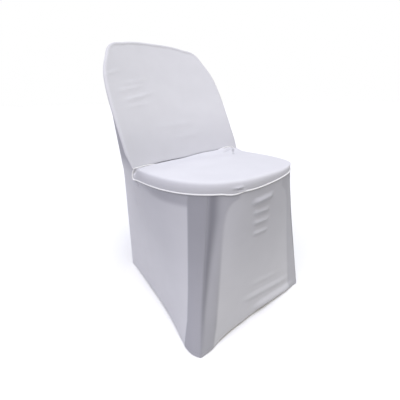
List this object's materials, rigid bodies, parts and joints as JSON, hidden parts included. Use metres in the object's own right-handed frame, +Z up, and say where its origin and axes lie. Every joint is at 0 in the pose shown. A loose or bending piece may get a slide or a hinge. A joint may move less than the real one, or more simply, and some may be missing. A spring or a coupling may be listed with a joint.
{
  "type": "fitted stretch chair cover",
  "caption": "White stretch cover for an armless one-piece chair: hollow skirt to the floor, piped seat cap and a slim back pocket with a rounded top.",
  "frame": {"origin": "on the floor, at the middle of the footprint's bounding box", "axes": "+Z up, the front of the seat looks along -Y, +X to the right of a person who stands in front and looks along +Y"},
  "size_m": [0.4818, 0.593, 0.8199],
  "materials": {
    "front_skirt_knit": "matt stretch knit",
    "side_knit": "matt stretch knit",
    "inside_back_knit": "matt stretch knit",
    "outside_back_knit": "matt stretch knit",
    "seat_cap_knit": "matt stretch knit",
    "piping_knit": "matt stretch knit"
  },
  "bodies": {
    "root": {"front_skirt": "front_skirt_knit", "left_side": "side_knit", "right_side": "side_knit", "inside_back": "inside_back_knit", "outside_back": "outside_back_knit", "seat_cap": "seat_cap_knit", "seat_piping": "piping_knit"}
  },
  "joints": []
}
